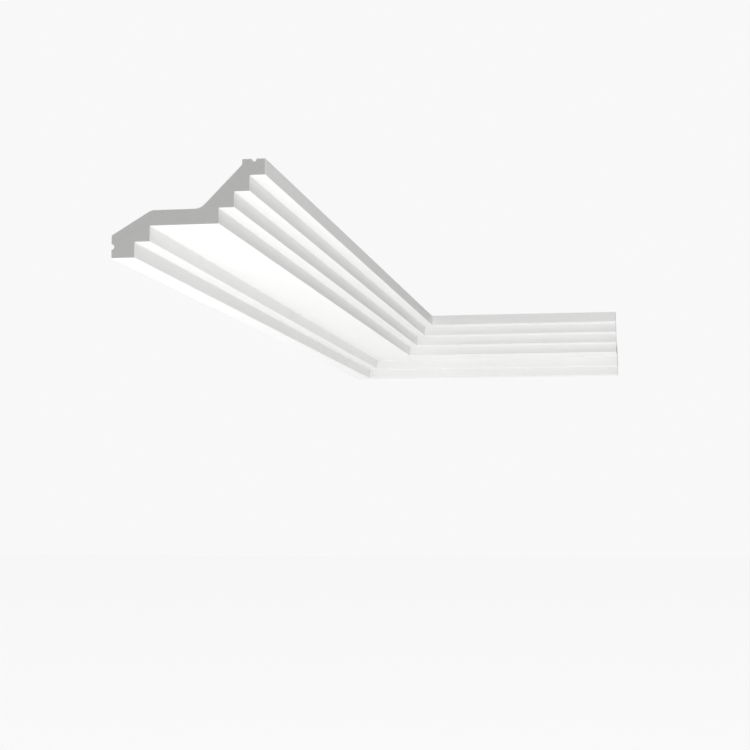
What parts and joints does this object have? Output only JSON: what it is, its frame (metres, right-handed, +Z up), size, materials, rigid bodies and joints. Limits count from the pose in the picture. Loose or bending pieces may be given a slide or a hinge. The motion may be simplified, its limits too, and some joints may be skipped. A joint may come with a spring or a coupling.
{
  "type": "stepped cornice moulding",
  "caption": "Stepped cornice moulding that turns an inside corner between walls and ceiling: mitred at the corner, cut square at both ends, hollow behind, bonded by grooved flat faces.",
  "frame": {"origin": "on the long length's wall face, halfway along it, in the middle of the flat strip below its adhesive groove", "axes": "+X away from the wall that the long length is fixed to, along the return; +Y along the long length towards the room's corner; +Z up to the ceiling"},
  "size_m": [0.469, 1.385, 0.095],
  "materials": {
    "primed_polymer": "matt white primed coat over fine-celled grey-white polymer, bare on the back and the cut ends"
  },
  "bodies": {
    "root": {"long_length": "primed_polymer", "return_length": "primed_polymer"}
  },
  "joints": []
}
